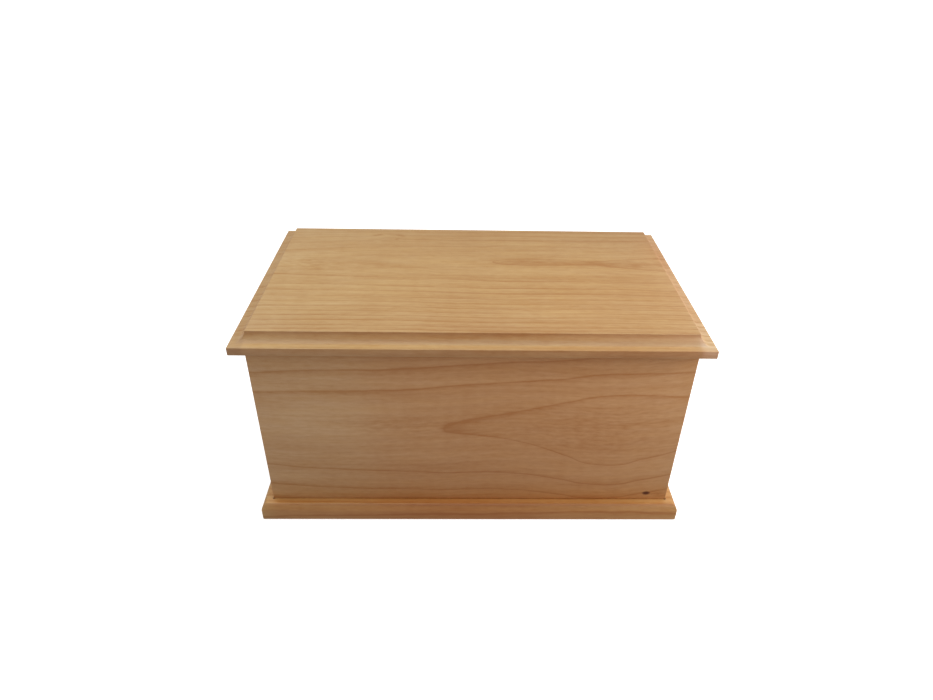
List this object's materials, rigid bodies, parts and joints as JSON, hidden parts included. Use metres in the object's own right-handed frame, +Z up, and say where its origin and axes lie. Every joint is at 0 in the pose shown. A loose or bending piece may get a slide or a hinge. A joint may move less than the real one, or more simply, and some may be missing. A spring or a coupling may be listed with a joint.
{
  "type": "cremation urn box",
  "caption": "Rectangular wooden cremation urn box: mitred panels on a wider round-edged base board, closed by an overhanging lift-off lid with a cove edge round a raised field.",
  "frame": {"origin": "middle of the underside of the base board, on the surface that the box stands on", "axes": "+Z up, +X to the viewer's right along the long side, -Y out of the front panel"},
  "size_m": [0.28, 0.165, 0.1441],
  "materials": {
    "lid_wood": "clear satin lacquer on pale straight-grained hardwood",
    "panel_wood": "clear satin lacquer on pale flat-sawn hardwood",
    "base_wood": "clear satin lacquer on pale hardwood"
  },
  "bodies": {
    "root": {"base_board": "base_wood", "front_panel": "panel_wood", "right_panel": "panel_wood", "back_panel": "panel_wood", "left_panel": "panel_wood", "lid": "lid_wood"}
  },
  "joints": []
}
